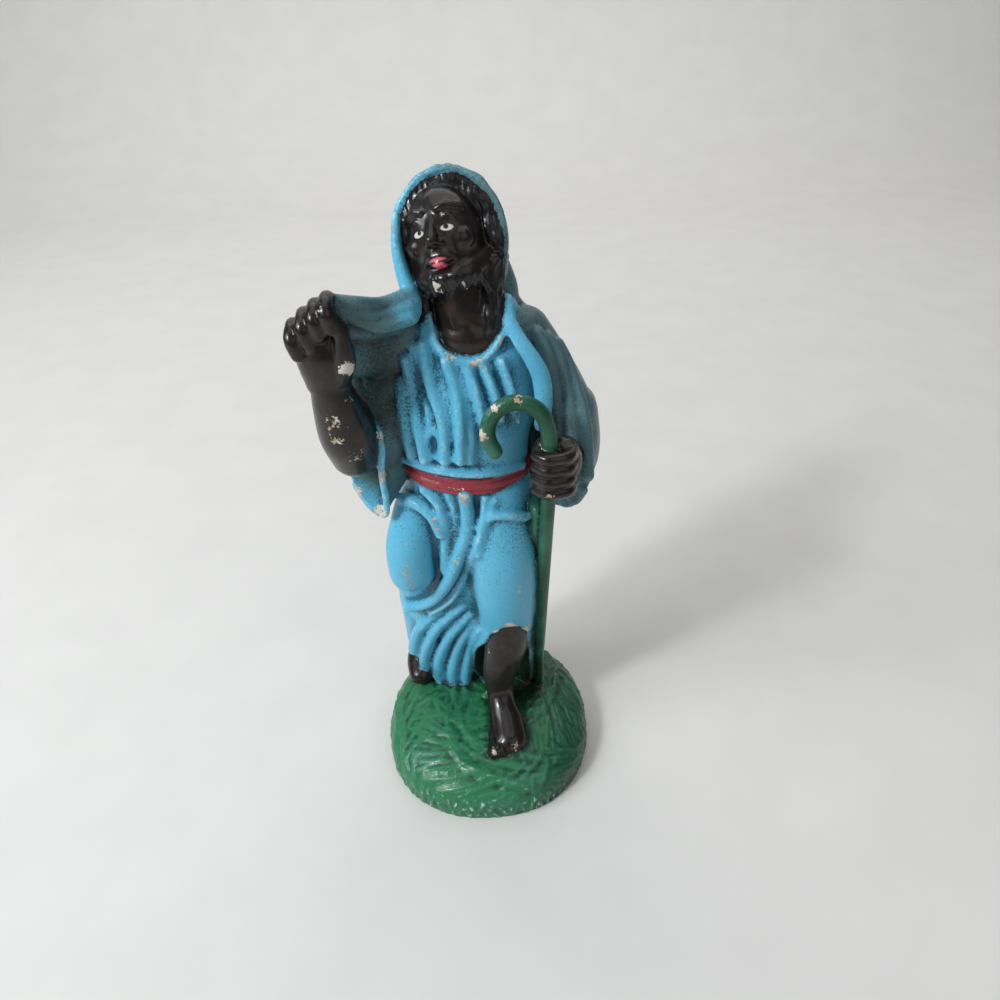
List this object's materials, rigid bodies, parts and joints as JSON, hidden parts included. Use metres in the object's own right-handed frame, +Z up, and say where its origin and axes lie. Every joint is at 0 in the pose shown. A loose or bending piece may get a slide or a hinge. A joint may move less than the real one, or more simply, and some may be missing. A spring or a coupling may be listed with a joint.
{
  "type": "nativity shepherd figurine",
  "caption": "Painted plaster shepherd on a grass mound, in a blue robe and hooded mantle, one hand raised with the mantle's edge and the other on a crook.",
  "frame": {"origin": "under the middle of the figure, on the mound's flat underside", "axes": "+Z up; the figure faces -Y, with its right side towards -X"},
  "size_m": [0.0458, 0.0434, 0.1143],
  "materials": {
    "painted_casting": "hand-painted plaster: matte blue robe and teal mantle, glossy dark brown skin, green mound and crook, red sash, with worn and chipped edges"
  },
  "bodies": {
    "root": {"shepherd_figurine": "painted_casting"}
  },
  "joints": []
}
